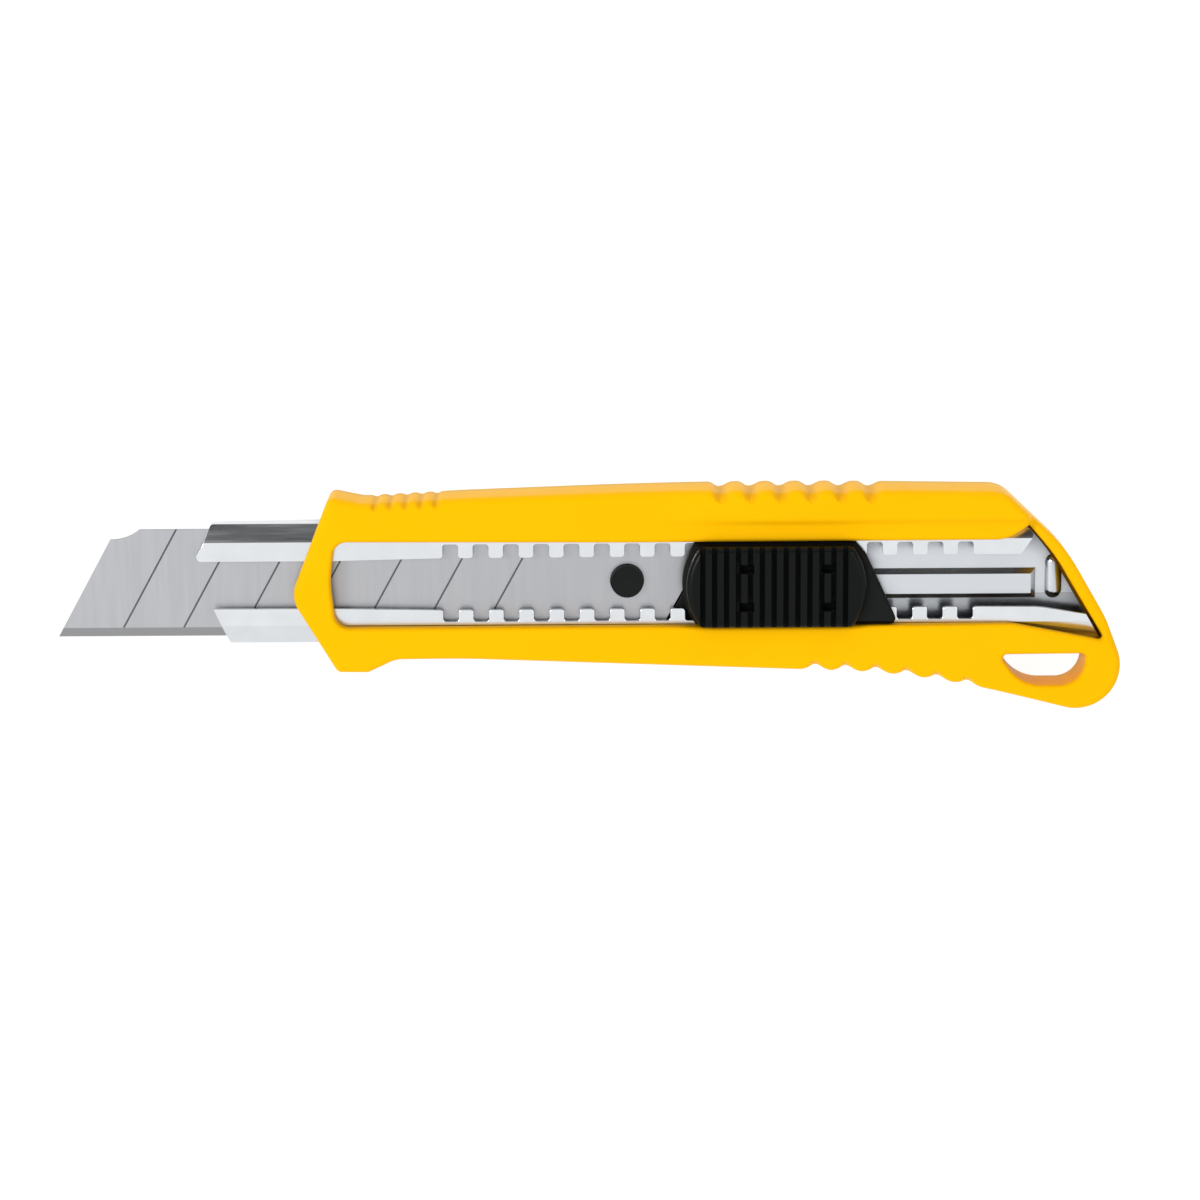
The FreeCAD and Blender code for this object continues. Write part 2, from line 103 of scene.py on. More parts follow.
# Where those heights change: the first and last x or y of each change
TAIL_SLOPE_X = (36.0, 60.0)
SPINE_RISE_Y = (7.0, 13.0)
CREASE_FADE_X = (-14.0, 12.0)
CREASE_Y = (9.7, 11.1)
UPPER_RIM_X = (52.7, 53.7)
LOWER_RIM_Y = (-11.5, -8.0)

# The window's slanted rear edge: a point on it, how far it moves in x for 1 mm down in y, and how
# far in x in front of it the top starts to fall to the rim
REAR_EDGE_X = 57.6
REAR_EDGE_Y = 4.1
REAR_EDGE_LEAN = 0.59
REAR_EDGE_RAMP = 3.0

# Edge rounding: the outer edge falls by EDGE_ROUND, or RIM_ROUND at the rear rim, over EDGE_REACH.
# The other edges are quarter circles.
EDGE_REACH = 1.0
EDGE_ROUND = 1.6
RIM_ROUND = 0.8
WINDOW_ROUND = 0.65
HOLE_ROUND = 0.7
BACK_ROUND = 0.8

# Painted shade on the blade below these: the score lines' floor in z, the cutting bevel in y.
SCORE_TOP = 5.62
BEVEL_TOP = -7.48

# The channel's plating gets painted shade inside, below INSIDE_TOP in z, and the darkest painted
# shade in the strip of floor between the rib and the lower lip, behind STRIP_X and below STRIP_Y.
INSIDE_TOP = 6.0
STRIP_X = 20.0
STRIP_Y = -2.9

# Grip grooves and scallops: how many, first x, pitch
SMALL_GROOVES = (5, -54.4, 2.5)
LARGE_GROOVES = (6, 2.3, 4.93)
SCALLOPS = (6, 18.1, 5.05)

# How deep they cut into the outline and how far each goes in x from its middle. The large grooves
# are longer at the rear, and each scallop is shallower than the one in front of it.
SMALL_GROOVE_DEPTH = 0.3
SMALL_GROOVE_HALF = 1.0
LARGE_GROOVE_DEPTH = 0.78
LARGE_GROOVE_FRONT = 1.8
LARGE_GROOVE_REAR = 2.35
SCALLOP_DEPTH = 0.7
SCALLOP_FADE = 0.03

# The spine and the belly are the outline beyond this y on either side.
GRIP_Y = 8.0

# The scoops they make in the handle's top: side (1 spine, -1 belly), row, how far in they reach,
# half width, depth, and how far they lean in x for 1 mm inwards
SCOOPS = [
    (1, SMALL_GROOVES, 1.1, 0.85, 1.0, 0.1),
    (1, LARGE_GROOVES, 1.5, 1.5, 1.4, 0.15),
    (-1, SCALLOPS, 1.3, 1.4, 1.3, 0.0),
]

# A scoop gets its full depth over this part of its reach, and this part of its width is left at
# its inner end.
SCOOP_RAMP = 0.8
SCOOP_TIP = 0.3

# The grooves' valleys get painted shade from this y outwards, over VALLEY_FADE.
SMALL_VALLEY_Y = 12.6
LARGE_VALLEY_Y = 14.0
VALLEY_FADE = 1.0

# Noise is mostly within these values.
NOISE_LOW = 0.3
NOISE_HIGH = 0.7

# The handle mesh: step along outlines, largest turn from point to point in radians, distances of
# the rings of points that follow them, grids of points between them, and areas with a finer grid
# as x and y from, x and y to, step
OUTLINE_STEP = 0.35
ARC_TURN = 0.2
CAVITY_STEP = 1.0
RINGS = (0.03, 0.12, 0.27, 0.48, 0.75, 1.1, 1.6)
BACK_RINGS = RINGS[:5]
GRID = 0.9
BACK_GRID = 3 * GRID
FINE_AREAS = [
    (-56.0, 11.6, -43.0, 14.0, 0.3),
    (0.0, 12.4, 30.0, 15.0, 0.3),
    (-14.0, 9.2, 53.0, 11.6, 0.35),
]

# A ring's points are kept where they are at least RING_SLACK of its distance from every outline,
# the points of a grid keep clear by a part of its step, and one point is kept in each cell.
RING_SLACK = 0.97
GRID_CLEAR = 0.5
FINE_CLEAR = 0.6
POINT_CELL = 0.16
SAME_POINT = 1e-5

# Camera: the point that it looks at, its distance and the width of its view there in metres, its
# tilt to the spine side in degrees, its roll in radians, and its sensor width
CAMERA_TARGET = (-17.5, -2.95, 7.4)
CAMERA_DISTANCE = 0.62
CAMERA_FIELD = 0.1983
CAMERA_TILT = 11.0
CAMERA_ROLL = -0.0061
SENSOR_WIDTH = 36

# Studio: brightness of the surroundings from the belly side (0) to the spine side (1), then the
# lamps' names, places in metres and power in watts, and their diameter in metres
STUDIO_LEVELS = [
    (0.0, 0.9),
    (0.25, 1.0),
    (0.60, 1.0),
    (0.68, 0.02),
    (0.78, 0.01),
    (0.86, 1.0),
    (1.0, 1.0),
]
STUDIO_STRENGTH = 0.95
LAMPS = [("key", (-0.62, 0.22, 0.78), 4.2), ("fill", (0.57, 0.24, 0.74), 1.1)]
LAMP_SIZE = 0.35

# Floor: half its side and its gap under the knife in metres
FLOOR_HALF = 3.0
FLOOR_GAP = 0.0001


# ---- plan outlines --------------------------------------------------------------------------
def outline_points(corners, step):
    """Points every step or less along a closed outline whose corners are rounded by arcs."""
    arcs = []
    count = len(corners)
    for i, (x, y, radius) in enumerate(corners):
        corner = Vector((x, y))
        to_before = (Vector(corners[i - 1][:2]) - corner).normalized()
        to_after = (Vector(corners[(i + 1) % count][:2]) - corner).normalized()
        half = to_before.angle(to_after) / 2
        if radius == 0:
            arcs.append([corner])
            continue
        centre = corner + (to_before + to_after).normalized() * (radius / math.sin(half))
        start = corner + to_before * (radius / math.tan(half)) - centre
        end = corner + to_after * (radius / math.tan(half)) - centre
        turn = math.pi - 2 * half
        parts = max(2, math.ceil(radius * turn / step), math.ceil(turn / ARC_TURN))
        arc = []
        for k in range(parts + 1):
            t = k / parts
            swing = start * math.sin((1 - t) * turn) + end * math.sin(t * turn)
            arc.append(centre + swing / math.sin(turn))
        arcs.append(arc)
    points = []
    for i, arc in enumerate(arcs):
        points += arc
        gap = arcs[(i + 1) % count][0] - arc[-1]
        parts = max(1, math.ceil(gap.length / step))
        points += [arc[-1] + gap * (k / parts) for k in range(1, parts)]
    return np.array([tuple(p) for p in points])


def hump(u):
    """1 at u = 0, falling smoothly to 0 at u = -1 and 1."""
    return np.where(np.abs(u) < 1, 0.5 + 0.5 * np.cos(np.pi * np.clip(u, -1, 1)), 0.0)


def smooth(value, low, high):
    """0 below low, 1 above high, smooth between."""
    t = np.clip((value - low) / (high - low), 0, 1)
    return t * t * (3 - 2 * t)


def distance_to(loop, points):
    """Distance of each point to a closed loop of straight runs."""
    run = np.roll(loop, -1, axis=0) - loop
    length2 = (run ** 2).sum(1)
    found = np.empty(len(points))
    block = 400  # points at a time, to save memory
    for first in range(0, len(points), block):
        away = points[first:first + block, None, :] - loop
        t = np.clip((away * run).sum(2) / length2, 0, 1)
        found[first:first + block] = np.sqrt(((away - t[..., None] * run) ** 2).sum(2).min(1))
    return found


def inside(loop, points):
    """Whether each point is inside a closed loop."""
    x, y = points[:, 0], points[:, 1]
    odd = np.zeros(len(points), bool)
    for (ax, ay), (bx, by) in zip(loop, np.roll(loop, -1, axis=0)):
        crosses = (ay > y) != (by > y)
        if not crosses.any():
            continue
        at_x = ax + (y - ay) * (bx - ax) / (by - ay if by != ay else 1)
        odd ^= crosses & (x < at_x)
    return odd


def offset_loop(loop, distance):
    """The loop's points moved square to it, to its left."""
    along = np.roll(loop, -1, axis=0) - np.roll(loop, 1, axis=0)
    along /= np.linalg.norm(along, axis=1)[:, None]
    return loop + distance * np.stack([-along[:, 1], along[:, 0]], axis=1)


def is_anticlockwise(loop):
    """Whether a closed loop runs anticlockwise."""
    after = np.roll(loop, -1, axis=0)
    return (loop[:, 0] * after[:, 1] - after[:, 0] * loop[:, 1]).sum() > 0


# ---- meshes ---------------------------------------------------------------------------------
def in_plan(loops, points):
    """Whether each point is inside loops[0] and outside the other loops."""
    found = inside(loops[0], points)
    for loop in loops[1:]:
        found &= ~inside(loop, points)
    return found


def plan_points(loops, rings, grid, fine_areas):
    """Points to mesh inside a plan: rings that follow its loops, then grids between them."""
    outer = loops[0]
    candidates = []
    for loop in loops:
        inward = 1 if is_anticlockwise(loop) == (loop is outer) else -1
        for ring in rings:
            moved = offset_loop(loop, inward * ring)
            clear = np.full(len(moved), RING_SLACK * ring)
            candidates.append(np.column_stack([moved, clear]))
    margin = max(rings) + GRID_CLEAR * grid
    areas = [(*outer.min(0), *outer.max(0), grid, margin)]
    areas += [(*area, FINE_CLEAR * area[4]) for area in fine_areas]
    for x_low, y_low, x_high, y_high, step, clear in areas:
        xs = np.arange(x_low, x_high, step)
        ys = np.arange(y_low, y_high, step)
        candidates.append(np.array([(x, y, clear) for x in xs for y in ys]))
    candidates = np.concatenate(candidates)
    candidates = candidates[in_plan(loops, candidates[:, :2])]
    near = np.min([distance_to(loop, candidates[:, :2]) for loop in loops], axis=0)
    one_per_cell = {}
    for x, y in candidates[near >= candidates[:, 2]][:, :2]:
        one_per_cell.setdefault((round(x / POINT_CELL), round(y / POINT_CELL)), (x, y))
    return list(one_per_cell.values())


def flat_mesh(loops, rings, grid, fine_areas=()):
    """Triangles over the area inside loops[0] and outside the other loops.

    Returns points, triangles, each loop's point numbers, and the points' distances to each loop."""
    given = [tuple(p) for loop in loops for p in loop]
    edges = []
    firsts = []
    first = 0
    for loop in loops:
        size = len(loop)
        edges += [(first + i, first + (i + 1) % size) for i in range(size)]
        firsts.append(first)
        first += size
    flat = [Vector(p) for p in given + plan_points(loops, rings, grid, fine_areas)]
    verts, _, faces, origins, _, _ = delaunay_2d_cdt(flat, edges, [], 0, SAME_POINT)
    verts = np.array([tuple(v) for v in verts])
    now = {old: new for new, olds in enumerate(origins) for old in olds}
    centres = np.array([verts[list(face)].mean(0) for face in faces])
    faces = [tuple(face) for face, kept in zip(faces, in_plan(loops, centres)) if kept]
    numbers = [[now[first + i] for i in range(len(loop))] for first, loop in zip(firsts, loops)]
    distances = [distance_to(loop, verts) for loop in loops]
    return verts, faces, numbers, distances


def relief_solid(name, loops, top, bottom, pocket):
    """A closed solid over a plan, with top(x, y, distances) and bottom(...) as its heights.

    The loop numbered pocket is a blind pocket down to WINDOW_FLOOR. The others go through."""
    upper = flat_mesh(loops, RINGS, GRID, FINE_AREAS)
    through = [loop for i, loop in enumerate(loops) if i != pocket]
    lower = flat_mesh(through, BACK_RINGS, BACK_GRID)
    verts = []
    faces = []
    ends = []
    for (points, triangles, numbers, distances), height in ((upper, top), (lower, bottom)):
        base = len(verts)
        z = height(points[:, 0], points[:, 1], distances)
        verts += [(x, y, h) for (x, y), h in zip(points, z)]
        faces += [tuple(base + i for i in triangle) for triangle in triangles]
        ends.append([[base + i for i in loop] for loop in numbers])
    tops = [loop for i, loop in enumerate(ends[0]) if i != pocket]
    for above, beneath in zip(tops, ends[1]):
        for i in range(len(above)):
            j = (i + 1) % len(above)
            faces.append((above[i], above[j], beneath[j], beneath[i]))
    rim = ends[0][pocket]
    base = len(verts)
    verts += [(*verts[i][:2], WINDOW_FLOOR) for i in rim]
    for i in range(len(rim)):
        j = (i + 1) % len(rim)
        faces.append((rim[i], rim[j], base + j, base + i))
    faces.append(tuple(range(base, base + len(rim))))
    return mesh_object(name, verts, faces)


def mesh_object(name, verts, faces):
    """An object from points in millimetres, with its faces turned outwards."""
    mesh = bpy.data.meshes.new(name)
    mesh.from_pydata([(x * MM, y * MM, z * MM) for x, y, z in verts], [], faces)
    bm = bmesh.new()
    bm.from_mesh(mesh)
    bmesh.ops.recalc_face_normals(bm, faces=bm.faces)
    bm.to_mesh(mesh)
    bm.free()
    piece = bpy.data.objects.new(name, mesh)
    bpy.context.scene.collection.objects.link(piece)
    return piece


def prism_object(name, loop, low, high):
    """A closed loop of points raised from one height to another."""
    count = len(loop)
    verts = [(x, y, low) for x, y in loop] + [(x, y, high) for x, y in loop]
    faces = [tuple(range(count)), tuple(range(count, 2 * count))]
    faces += [(i, (i + 1) % count, count + (i + 1) % count, count + i) for i in range(count)]
    return mesh_object(name, verts, faces)


def apply_modifiers(piece):
    """Turns the piece into the mesh that its modifiers make."""
    graph = bpy.context.evaluated_depsgraph_get()
    made = bpy.data.meshes.new_from_object(piece.evaluated_get(graph))
    piece.modifiers.clear()
    piece.data = made


def cut_away(piece, cutter):
    """Cuts one object out of another and removes it."""
    boolean = piece.modifiers.new("cut", "BOOLEAN")
    boolean.operation = "DIFFERENCE"
    boolean.solver = "EXACT"
    boolean.object = cutter
    apply_modifiers(piece)
    bpy.data.objects.remove(cutter)


def shade(piece, sharp_angle):
    """Smooth shading, with edges over an angle in degrees kept sharp."""
    piece.data.shade_smooth()
    piece.data.set_sharp_from_angle(angle=math.radians(sharp_angle))


def rounded_copy(node, name, width, sharp, segments):
    """A piece with the CAD node's shape and its sharp edges rounded, to stand for that node."""
    same_place = 0.002 * MM
    flat_angle = math.radians(0.5)
    bevel_angle = math.radians(30)
    bm = bmesh.new()
    bm.from_mesh(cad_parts[node].data)
    bmesh.ops.remove_doubles(bm, verts=bm.verts, dist=same_place)
    bmesh.ops.dissolve_limit(bm, angle_limit=flat_angle, verts=bm.verts, edges=bm.edges)
    mesh = bpy.data.meshes.new(name)
    bm.to_mesh(mesh)
    bm.free()
    piece = bpy.data.objects.new(name, mesh)
    bpy.context.scene.collection.objects.link(piece)
    bevel = piece.modifiers.new("edges", "BEVEL")
    bevel.width = width * MM
    bevel.segments = segments
    bevel.limit_method = "ANGLE"
    bevel.angle_limit = bevel_angle
    apply_modifiers(piece)
    shade(piece, sharp)
    even = piece.modifiers.new("even", "WEIGHTED_NORMAL")
    even.keep_sharp = True
    even.weight = 100  # large faces weigh most, so they shade flat
    apply_modifiers(piece)
    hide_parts(node)
    return piece


# ---- materials ------------------------------------------------------------------------------
def shader_material(name, sockets):
    """A material with its constants on the shader's own sockets. Returns it with its nodes."""
    material = bpy.data.materials.new(name)
    material.use_nodes = True
    nodes = material.node_tree.nodes
    shader = nodes["Principled BSDF"]
    for socket, value in sockets.items():
        shader.inputs[socket].default_value = value
    return material, nodes, material.node_tree.links, shader


def worked_out(nodes, links, operation, *values, clamp=False):
    """A math node's result. Each value is a number or a socket."""
    node = nodes.new("ShaderNodeMath")
    node.operation = operation
    node.use_clamp = clamp
    for socket, value in zip(node.inputs, values):
        if isinstance(value, (int, float)):
            socket.default_value = value
        else:
            links.new(value, socket)
    return node.outputs["Value"]


def ranged(nodes, links, value, from_low, from_high, to_low=0.0, to_high=1.0):
    """A number that goes from to_low to to_high as value goes from from_low to from_high."""
    node = nodes.new("ShaderNodeMapRange")
    node.inputs["From Min"].default_value = from_low
    node.inputs["From Max"].default_value = from_high
    node.inputs["To Min"].default_value = to_low
    node.inputs["To Max"].default_value = to_high
    links.new(value, node.inputs["Value"])
    return node.outputs["Result"]


def stretched_noise(nodes, links, scale, stretch=(1, 1, 1), detail=3.0):
    """Noise over the object's own coordinates, drawn out along some axes."""
    place = nodes.new("ShaderNodeTexCoord")
    mapping = nodes.new("ShaderNodeMapping")
    mapping.inputs["Scale"].default_value = stretch
    noise = nodes.new("ShaderNodeTexNoise")
    noise.inputs["Scale"].default_value = scale
    noise.inputs["Detail"].default_value = detail
    links.new(place.outputs["Object"], mapping.inputs["Vector"])
    links.new(mapping.outputs["Vector"], noise.inputs["Vector"])
    return noise.outputs["Fac"]


def between(nodes, links, noise, low, high):
    """A number that follows noise from low to high."""
    return ranged(nodes, links, noise, NOISE_LOW, NOISE_HIGH, low, high)


def two_tone(nodes, links, noise, first, second):
    """A colour that follows noise from first to second."""
    ramp = nodes.new("ShaderNodeValToRGB")
    ramp.color_ramp.elements[0].position = NOISE_LOW
    ramp.color_ramp.elements[1].position = NOISE_HIGH
    ramp.color_ramp.elements[0].color = (*first, 1)
    ramp.color_ramp.elements[1].color = (*second, 1)
    links.new(noise, ramp.inputs["Fac"])
    return ramp.outputs["Color"]


def open_sky(nodes, links, reach, low, high):
    """0 in a recess to 1 in the open, as the openness within reach mm goes from low to high."""
    sky = nodes.new("ShaderNodeAmbientOcclusion")
    sky.samples = 8
    sky.inputs["Distance"].default_value = reach * MM
    return ranged(nodes, links, sky.outputs["AO"], low, high)


def mixed(nodes, links, factor, first, second):
    """first where factor is 0, second where it is 1. Each is a colour or a socket."""
    mix = nodes.new("ShaderNodeMix")
    mix.data_type = "RGBA"
    links.new(factor, mix.inputs["Factor"])
    for socket, value in ((mix.inputs["A"], first), (mix.inputs["B"], second)):
        if isinstance(value, tuple):
            socket.default_value = (*value, 1)
        else:
            links.new(value, socket)
    return mix.outputs["Result"]


def own_place(nodes, links):
    """The piece's own X, Y and Z in metres, as sockets."""
    place = nodes.new("ShaderNodeTexCoord")
    split = nodes.new("ShaderNodeSeparateXYZ")
    links.new(place.outputs["Object"], split.inputs["Vector"])
    return split.outputs


def below(nodes, links, axis, limit):
    """1 where the piece's own X, Y or Z is below a limit in millimetres, otherwise 0."""
    return worked_out(nodes, links, "LESS_THAN", own_place(nodes, links)[axis], limit * MM)


def groove_shade_mask(nodes, links, row, edge_y):
    """Mask for painted shade: up to 1 down the middle of each groove of a row, and 0 between them
    or inboard of edge_y.
    """
    count, first, pitch = row
    place = own_place(nodes, links)
    per_metre = math.tau / (pitch * MM)
    at_zero = -math.tau * first / pitch
    turn = worked_out(nodes, links, "MULTIPLY_ADD", place["X"], per_metre, at_zero)
    found = worked_out(nodes, links, "COSINE", turn)
    outwards = ranged(nodes, links, place["Y"], edge_y * MM, (edge_y + VALLEY_FADE) * MM)
    before = below(nodes, links, "X", first - 0.5 * pitch)
    ahead = below(nodes, links, "X", first + (count - 0.5) * pitch)
    for operation, mask in (("MULTIPLY", outwards), ("MULTIPLY", ahead), ("SUBTRACT", before)):
        found = worked_out(nodes, links, operation, found, mask, clamp=True)
    return found


def add_bump(nodes, links, shader, height, depth, strength):
    """Bumps up to depth millimetres high that follow height."""
    bump = nodes.new("ShaderNodeBump")
    bump.inputs["Distance"].default_value = depth * MM
    bump.inputs["Strength"].default_value = strength
    links.new(height, bump.inputs["Height"])
    links.new(bump.outputs["Normal"], shader.inputs["Normal"])


def yellow_plastic():
    """Moulded plastic, a little uneven in colour, with painted shade in recesses and in the grip
    grooves, fine texture.
    """
    sockets = {"Specular IOR Level": 0.02}
    material, nodes, links, shader = shader_material("yellow_plastic", sockets)
    # Painted shade: this colour darkens recesses and walls where ambient occlusion closes in.
    recess_shade = (0.55, 0.285, 0.0003)
    # Painted shade: this colour darkens the middle of each grip groove.
    valley_shade = (0.84, 0.42, 0.0003)
    cloud = stretched_noise(nodes, links, 60)
    yellow = two_tone(nodes, links, cloud, (0.97, 0.495, 0.0008), (0.99, 0.515, 0.0012))
    colour = mixed(nodes, links, open_sky(nodes, links, 5.0, 0.3, 0.85), recess_shade, yellow)
    for row, edge_y in ((SMALL_GROOVES, SMALL_VALLEY_Y), (LARGE_GROOVES, LARGE_VALLEY_Y)):
        colour = mixed(nodes, links, groove_shade_mask(nodes, links, row, edge_y), colour, valley_shade)
    links.new(colour, shader.inputs["Base Color"])
    grain = stretched_noise(nodes, links, 2600, detail=2.0)
    links.new(between(nodes, links, grain, 0.30, 0.38), shader.inputs["Roughness"])
    add_bump(nodes, links, shader, grain, 0.006, 0.5)
    return material


def plated_steel():
    """Plated sheet with faint lines along it and cloudy marks, with painted shade inside the
    channel.
    """
    material, nodes, links, shader = shader_material("plated_steel", {"Metallic": 1.0})
    cloud = stretched_noise(nodes, links, 220, detail=5.0)
    bright = two_tone(nodes, links, cloud, (0.77, 0.80, 0.825), (0.83, 0.855, 0.88))
    # Painted shade inside the channel, darkest where ambient occlusion closes in.
    shelter = open_sky(nodes, links, 5.0, 0.25, 0.8)
    inside_shade = mixed(nodes, links, shelter, (0.05, 0.055, 0.06), (0.70, 0.73, 0.765))
    # Painted shade, darker still, in the floor strip between the rib and the lower lip.
    strip_shade = mixed(nodes, links, shelter, (0.06, 0.063, 0.068), (0.50, 0.52, 0.545))
    strip_shade = mixed(nodes, links, below(nodes, links, "X", STRIP_X), strip_shade, inside_shade)
    inside_shade = mixed(nodes, links, below(nodes, links, "Y", STRIP_Y), inside_shade, strip_shade)
    colour = mixed(nodes, links, below(nodes, links, "Z", INSIDE_TOP), bright, inside_shade)
    links.new(colour, shader.inputs["Base Color"])
    lines = stretched_noise(nodes, links, 900, (0.06, 1, 1))
    links.new(between(nodes, links, lines, 0.17, 0.27), shader.inputs["Roughness"])
    add_bump(nodes, links, shader, lines, 0.004, 0.35)
    return material


def blade_steel():
    """Ground tool steel with fine cross grinding, with painted shade in the score lines and on the
    cutting bevel.
    """
    material, nodes, links, shader = shader_material("blade_steel", {"Metallic": 1.0})
    # Painted shade in the score lines.
    score_shade = (0.14, 0.14, 0.15)
    # Painted shade on the cutting bevel, for its darker reflection.
    bevel = (0.34, 0.343, 0.35)
    grind = stretched_noise(nodes, links, 1500, (1, 0.05, 1), 2.0)
    face = two_tone(nodes, links, grind, (0.475, 0.48, 0.50), (0.495, 0.50, 0.52))
    score_shaded = mixed(nodes, links, below(nodes, links, "Z", SCORE_TOP), face, score_shade)
    colour = mixed(nodes, links, below(nodes, links, "Y", BEVEL_TOP), score_shaded, bevel)
    links.new(colour, shader.inputs["Base Color"])
    links.new(between(nodes, links, grind, 0.33, 0.38), shader.inputs["Roughness"])
    add_bump(nodes, links, shader, grind, 0.002, 0.2)
    return material


def black_plastic(name, tone, roughness):
    """Nylon with a fine spark-eroded texture, rougher in recesses, with painted shade there."""
    material, nodes, links, shader = shader_material(name, {"Specular IOR Level": 0.14})
    # Painted shade in recesses, where ambient occlusion closes in.
    recess_shade = (0.0003, 0.0004, 0.0004)
    recess_roughness = 0.55
    cloud = stretched_noise(nodes, links, 300)
    low = tuple(0.9 * c for c in tone)
    high = tuple(1.15 * c for c in tone)
    shelter = open_sky(nodes, links, 1.8, 0.3, 0.85)
    colour = mixed(nodes, links, shelter, recess_shade, two_tone(nodes, links, cloud, low, high))
    links.new(colour, shader.inputs["Base Color"])
    grain = stretched_noise(nodes, links, 4000, detail=2.0)
    roughest = roughness + recess_roughness
    rough = between(nodes, links, grain, roughest - 0.05, roughest + 0.08)
    rough = worked_out(nodes, links, "MULTIPLY_ADD", shelter, -recess_roughness, rough)
    links.new(rough, shader.inputs["Roughness"])
    add_bump(nodes, links, shader, grain, 0.008, 0.6)
    return material


def spring_steel():
    """Bare spring steel with rolling lines along its length."""
    material, nodes, links, shader = shader_material("spring_steel", {"Metallic": 1.0})
    lines = stretched_noise(nodes, links, 1200, (0.1, 1, 1))
    colour = two_tone(nodes, links, lines, (0.4, 0.4, 0.42), (0.5, 0.5, 0.52))
    links.new(colour, shader.inputs["Base Color"])
    links.new(between(nodes, links, lines, 0.25, 0.38), shader.inputs["Roughness"])
    add_bump(nodes, links, shader, lines, 0.003, 0.4)
    return material


def finish_piece(piece, material, body):
    """Gives a piece its material, in its only material slot, and the body that it moves with."""
    piece.data.materials.clear()
    piece.data.materials.append(material)
    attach(piece, body)


# ---- handle ---------------------------------------------------------------------------------
def along_row(x, row):
    """Each point's distance in x from each mark of a row, one array for a mark."""
    count, first, pitch = row
    return [x - first - n * pitch for n in range(count)]


def grip_outline(loop):
    """The handle's outline with grooves pressed into its spine and scallops into its belly."""
    x, y = loop[:, 0], loop[:, 1].copy()
    spine = y > GRIP_Y
    belly = y < -GRIP_Y
    for away in along_row(x, SMALL_GROOVES):
        y -= SMALL_GROOVE_DEPTH * hump(away / SMALL_GROOVE_HALF) * spine
    for away in along_row(x, LARGE_GROOVES):
        half = np.where(away < 0, LARGE_GROOVE_FRONT, LARGE_GROOVE_REAR)
        y -= LARGE_GROOVE_DEPTH * hump(away / half) * spine
    half_pitch = 0.5 * SCALLOPS[2]
    for n, away in enumerate(along_row(x, SCALLOPS)):
        y += (SCALLOP_DEPTH - SCALLOP_FADE * n) * hump(away / half_pitch) * belly
    return np.column_stack([x, y])


def round_drop(distance, radius):
    """How far a rounded edge has fallen at a distance from it."""
    short = np.clip(radius - distance, 0, radius)
    return radius - np.sqrt(np.maximum(radius ** 2 - short ** 2, 0))


def scoops(x, y, outer, side, row, reach, half_width, depth, lean):
    """Depth of a row of scoops on one side, widest and deepest at the handle's outer edge."""
    near = smooth(reach - outer, 0, SCOOP_RAMP * reach) * (side * y > GRIP_Y)
    half = half_width * (SCOOP_TIP + (1 - SCOOP_TIP) * near)
    total = np.zeros_like(x)
    for away in along_row(x, row):
        total += hump((away - lean * outer) / half)
    return depth * near * total


def handle_top(x, y, distances):
    """Height of the handle's top: spine side, belly side and rear rim, with edges and scoops."""
    outer, window, hole = distances
    lower = SIDE_HEIGHT + (TAIL_HEIGHT - SIDE_HEIGHT) * smooth(x, *TAIL_SLOPE_X)
    rise_from, rise_to = SPINE_RISE_Y
    upper = SIDE_HEIGHT + SPINE_RISE * np.clip((y - rise_from) / (rise_to - rise_from), 0, 1)
    upper = upper + CREASE_STEP * smooth(x, *CREASE_FADE_X) * smooth(y, *CREASE_Y)
    z = np.where(y > 0, upper, lower)
    behind_window = x - REAR_EDGE_X - (REAR_EDGE_Y - y) * REAR_EDGE_LEAN
    lower_rim = smooth(behind_window, -REAR_EDGE_RAMP, 0.0) * smooth(y, *LOWER_RIM_Y)
    rim = np.where(y > 0, smooth(x, *UPPER_RIM_X), lower_rim)
    z = z + (RIM_HEIGHT - z) * rim
    z = z - round_drop(outer, EDGE_REACH) * (EDGE_ROUND + (RIM_ROUND - EDGE_ROUND) * rim)
    z = z - round_drop(window, WINDOW_ROUND) - round_drop(hole, HOLE_ROUND)
    for scoop in SCOOPS:
        z = z - scoops(x, y, outer, *scoop)
    return z


def handle_back(x, y, distances):
    """Height of the handle's flat back, which rises only at its rounded edges."""
    outer, hole = distances
    return round_drop(outer, BACK_ROUND) + round_drop(hole, HOLE_ROUND)


def make_handle():
    """The moulded handle with its window, lanyard hole and the cavity for the channel."""
    outer = grip_outline(outline_points(HANDLE_OUTLINE, OUTLINE_STEP))
    window = outline_points(WINDOW_OUTLINE, OUTLINE_STEP)
    hole = outline_points(LANYARD_HOLE, OUTLINE_STEP)
    loops = [outer, window, hole]
    handle = relief_solid("handle_body_shell", loops, handle_top, handle_back, pocket=1)
    cavity = outline_points(CAVITY_OUTLINE, CAVITY_STEP)
    cut_away(handle, prism_object("cavity", cavity, BACK_WALL, CAVITY_TOP))
    shade(handle, sharp_angle=38)
    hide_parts("handle_body")
    return handle


# ---- stage ----------------------------------------------------------------------------------
def make_floor():
    """A plain pale floor, a hair below the knife's back."""
    size = FLOOR_HALF
    verts = [(-size, -size, 0), (size, -size, 0), (size, size, 0), (-size, size, 0)]
    mesh = bpy.data.meshes.new("floor")
    mesh.from_pydata(verts, [], [(0, 1, 2, 3)])
    floor = bpy.data.objects.new("floor", mesh)
    floor.location.z = -FLOOR_GAP
    bpy.context.scene.collection.objects.link(floor)
    sockets = {
        "Base Color": (0.15, 0.15, 0.15, 1),
        "Roughness": 0.9,
        "Specular IOR Level": 0.0,
        "Emission Color": (1, 1, 1, 1),
        "Emission Strength": 0.93,
    }
    mesh.materials.append(shader_material("pale_floor", sockets)[0])


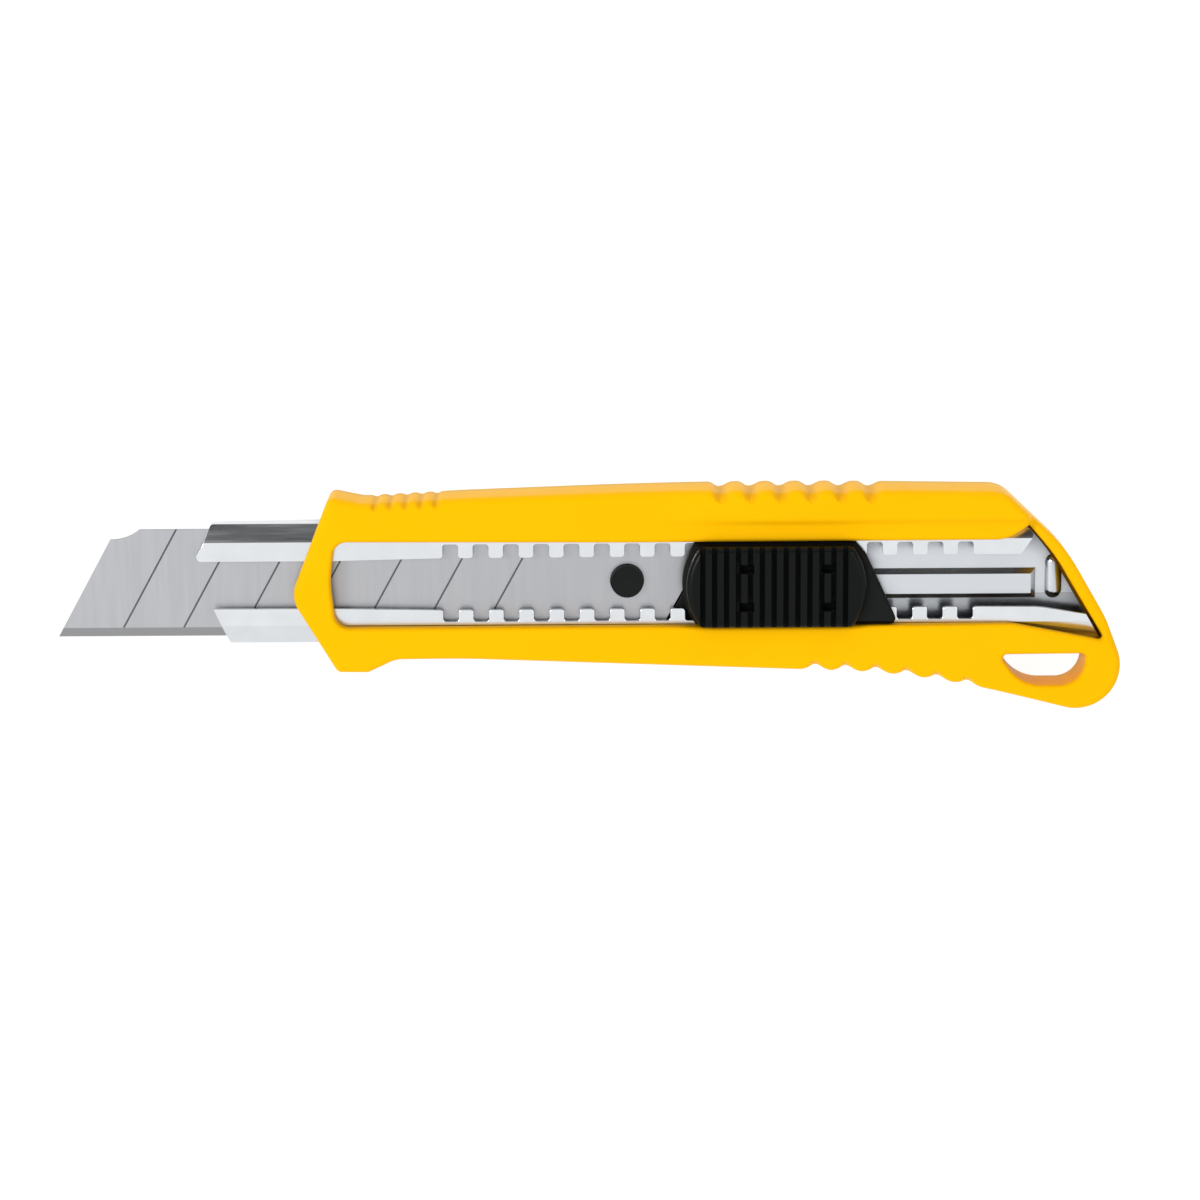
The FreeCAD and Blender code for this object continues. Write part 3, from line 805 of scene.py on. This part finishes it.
def make_camera():
    """Looks almost square down on the knife, tilted to the spine side."""
    tilt = math.radians(CAMERA_TILT)
    backwards = Vector((0, math.sin(tilt), math.cos(tilt)))
    camera = bpy.data.objects.new("camera", bpy.data.cameras.new("camera"))
    camera.data.sensor_width = SENSOR_WIDTH
    camera.data.lens = SENSOR_WIDTH * CAMERA_DISTANCE / CAMERA_FIELD
    camera.data.clip_start = 0.01
    camera.matrix_world = (
        Matrix.Translation(Vector(CAMERA_TARGET) * MM + CAMERA_DISTANCE * backwards)
        @ Matrix.Rotation(-tilt, 4, "X")
        @ Matrix.Rotation(CAMERA_ROLL, 4, "Z")
    )
    bpy.context.scene.collection.objects.link(camera)
    bpy.context.scene.camera = camera


def make_lamp(name, place, power):
    """A round lamp that shines at the origin."""
    light = bpy.data.lights.new(name, "AREA")
    light.shape = "DISK"
    light.size = LAMP_SIZE
    light.energy = power
    lamp = bpy.data.objects.new(name, light)
    lamp.location = place
    lamp.rotation_euler = (-Vector(place)).to_track_quat("-Z", "Y").to_euler()
    bpy.context.scene.collection.objects.link(lamp)


def make_light():
    """A white studio all round, with one darker panel that the steel picks up, and two lamps."""
    world = bpy.data.worlds.new("studio")
    bpy.context.scene.world = world
    world.use_nodes = True
    nodes, links = world.node_tree.nodes, world.node_tree.links
    place = nodes.new("ShaderNodeTexCoord")
    split = nodes.new("ShaderNodeSeparateXYZ")
    links.new(place.outputs["Generated"], split.inputs["Vector"])
    side = worked_out(nodes, links, "MULTIPLY_ADD", split.outputs["Y"], 0.5, 0.5)
    ramp = nodes.new("ShaderNodeValToRGB")
    ramp.color_ramp.interpolation = "EASE"
    elements = ramp.color_ramp.elements
    while len(elements) < len(STUDIO_LEVELS):
        elements.new(0.5)
    for element, (position, level) in zip(elements, STUDIO_LEVELS):
        element.position = position
        element.color = (level, level, level, 1)
    links.new(side, ramp.inputs["Fac"])
    links.new(ramp.outputs["Color"], nodes["Background"].inputs["Color"])
    nodes["Background"].inputs["Strength"].default_value = STUDIO_STRENGTH
    for name, place, power in LAMPS:
        make_lamp(name, place, power)


# ---- build ----------------------------------------------------------------------------------
make_camera()
make_light()
make_floor()

finish_piece(make_handle(), yellow_plastic(), "handle")

black = black_plastic("black_plastic", (0.0055, 0.0072, 0.0069), 0.36)
pad_black = black_plastic("pad_plastic", (0.0012, 0.0026, 0.0022), 0.33)

# Node, what its piece is called after it, material, body, slot, then the width of the rounded
# edges, the angle over which an edge is still shaded sharp, and how many faces round an edge
ROUNDED = [
    ("blade_channel", "sheet", plated_steel(), "handle", "channel_steel", 0.1, 15, 2),
    ("snap_off_blade", "ground", blade_steel(), "slider", "blade_steel", 0.02, 8, 1),
    ("blade_holder", "moulding", black, "slider", "black_plastic", 0.15, 32, 2),
    ("slider_carriage", "moulding", black, "slider", "black_plastic", 0.12, 32, 2),
    ("thumb_pad", "moulding", pad_black, "pad", "pad_plastic", 0.28, 32, 3),
    ("lock_spring", "leaf", spring_steel(), "slider", "spring_steel", 0.08, 32, 2),
]
pieces = {}
for node, form, material, body, slot, width, sharp, segments in ROUNDED:
    pieces[node] = rounded_copy(node, f"{node}_{form}", width, sharp, segments)
    finish_piece(pieces[node], material, body)
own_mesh(pieces["lock_spring"])

bpy.context.scene.view_settings.view_transform = "Standard"
